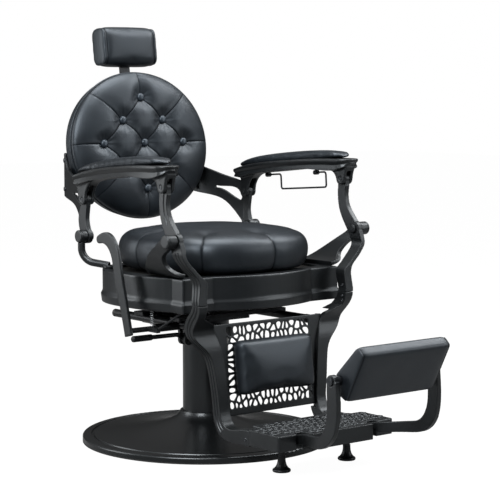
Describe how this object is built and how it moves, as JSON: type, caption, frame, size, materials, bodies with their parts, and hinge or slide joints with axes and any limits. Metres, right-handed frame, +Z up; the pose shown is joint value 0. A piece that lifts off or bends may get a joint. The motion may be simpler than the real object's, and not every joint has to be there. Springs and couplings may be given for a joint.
{
  "type": "barber chair",
  "caption": "Hydraulic barber chair with a round tufted back, cast scroll levers, pierced calf panel, footrest, flip bolster and sliding headrest.",
  "frame": {"origin": "centre of the base's flat underside, on the floor", "axes": "+Z up along the pump column, -Y the way the sitter faces, +X towards the sitter's left"},
  "size_m": [0.6868, 1.2137, 1.139],
  "materials": {
    "leather": "black upholstery, semi-gloss",
    "casting": "black satin powder coat",
    "skirt": "black moulded skirt, semi-gloss",
    "base": "black satin, smooth",
    "steel": "ground steel",
    "screw": "black oxide",
    "rubber": "matt",
    "plywood": "bare plywood"
  },
  "bodies": {
    "base": {"base_disc": "base", "ballast_plate": "base", "edge_gasket": "rubber", "pump_column": "base", "column_collar": "base", "pump_cylinder": "steel"},
    "ram": {"lift_ram": "steel", "thrust_bearing": "steel"},
    "chassis": {"swivel_hub": "casting", "cross_members": "casting", "chassis_rails": "casting", "rail_plugs": "rubber", "chassis_posts": "casting", "seat_apron": "skirt", "seat_deck": "plywood", "seat_cushion": "leather", "front_pivot_bracket_left": "casting", "front_pivot_bracket_right": "casting", "rear_pivot_bracket_left": "casting", "rear_pivot_bracket_right": "casting", "front_pivot_pins": "casting", "rear_pivot_pins": "casting", "lock_barrel": "casting", "return_spring": "steel"},
    "recline_lever": {"recline_handle": "casting", "recline_shaft": "casting"},
    "pump_pedal": {"pump_pedal": "casting"},
    "leg_frame": {"arm_post_left": "casting", "arm_post_right": "casting", "leg_casting_left": "casting", "leg_casting_right": "casting", "frame_screws": "screw", "calf_panel": "casting", "calf_pad": "leather", "footrest_plate": "casting", "bolster_arm_left": "casting", "bolster_arm_right": "casting"},
    "lock_slide": {"lock_rod": "steel"},
    "bolster": {"bolster_core": "plywood", "bolster_pad": "leather", "bolster_pivots": "screw"},
    "leveller_left": {"levelling_foot_left": "casting"},
    "leveller_right": {"levelling_foot_right": "casting"},
    "back": {"back_shell": "leather", "back_cushion": "leather", "back_buttons": "leather", "back_hanger_left": "casting", "back_hanger_right": "casting", "back_frame": "casting", "hanger_screws": "screw"},
    "headrest": {"headrest_post": "casting", "headrest_pad": "leather"},
    "armrest_left": {"armrest_casting_left": "casting", "armrest_pad_left": "leather", "armrest_pins_left": "steel", "towel_clips": "casting"},
    "armrest_right": {"armrest_casting_right": "casting", "armrest_pad_right": "leather", "armrest_pins_right": "steel"},
    "towel_bail": {"towel_bar": "casting"}
  },
  "joints": [
    {"name": "seat_lift", "type": "slide", "parent": "base", "child": "ram", "axis": [0, 0, 1], "range_m": [0, 0.16]},
    {"name": "seat_swivel", "type": "hinge", "parent": "ram", "child": "chassis", "pos_m": [0, 0, 0.345], "axis": [0, 0, 1], "continuous": true},
    {"name": "back_recline", "type": "hinge", "parent": "chassis", "child": "back", "pos_m": [0, 0.158, 0.568], "axis": [-1, 0, 0], "range_deg": [0, 40]},
    {"name": "leg_frame_swing", "type": "hinge", "parent": "chassis", "child": "leg_frame", "pos_m": [0, -0.276, 0.585], "axis": [-1, 0, 0], "range_deg": [0, 30.2]},
    {"name": "armrest_left_hinge", "type": "hinge", "parent": "back", "child": "armrest_left", "pos_m": [0.282, 0.16, 0.668], "axis": [1, 0, 0], "range_deg": [0, 43]},
    {"name": "armrest_right_hinge", "type": "hinge", "parent": "back", "child": "armrest_right", "pos_m": [-0.282, 0.16, 0.668], "axis": [1, 0, 0], "range_deg": [0, 43]},
    {"name": "recline_lock_slide", "type": "slide", "parent": "chassis", "child": "lock_slide", "axis": [0, -1, 0], "range_m": [0, 0.133]},
    {"name": "headrest_slide", "type": "slide", "parent": "back", "child": "headrest", "axis": [0, 0.1305, 0.9914], "range_m": [0, 0.1]},
    {"name": "towel_bail_swing", "type": "hinge", "parent": "armrest_left", "child": "towel_bail", "pos_m": [0.29, 0.078, 0.718], "axis": [0, -0.9974, 0.0719], "range_deg": [-80, 80]},
    {"name": "bolster_flip", "type": "hinge", "parent": "leg_frame", "child": "bolster", "pos_m": [0, -0.714, 0.273], "axis": [1, 0, 0], "range_deg": [-30, 180]},
    {"name": "leveller_left_screw", "type": "slide", "parent": "leg_frame", "child": "leveller_left", "axis": [0, 0, 1], "range_m": [0, 0.015]},
    {"name": "leveller_right_screw", "type": "slide", "parent": "leg_frame", "child": "leveller_right", "axis": [0, 0, 1], "range_m": [0, 0.015]},
    {"name": "recline_handle_pull", "type": "hinge", "parent": "chassis", "child": "recline_lever", "pos_m": [-0.25, -0.104, 0.341], "axis": [-1, 0, 0], "range_deg": [0, 14], "stiffness_Nm_per_rad": 4, "springref_deg": -22.92, "deforming": ["return_spring"]},
    {"name": "pump_pedal_press", "type": "hinge", "parent": "chassis", "child": "pump_pedal", "pos_m": [-0.084, -0.02, 0.286], "axis": [0, -1, 0], "range_deg": [0, 18], "stiffness_Nm_per_rad": 4, "springref_deg": -22.92}
  ],
  "couplings": [
    {"joint": "leg_frame_swing", "follows": "back_recline", "ratio": 0.75161},
    {"joint": "armrest_left_hinge", "follows": "back_recline", "ratio": 1.0627},
    {"joint": "armrest_right_hinge", "follows": "back_recline", "ratio": 1.0627},
    {"joint": "recline_lock_slide", "follows": "back_recline", "m_per_rad": 0.18909}
  ]
}
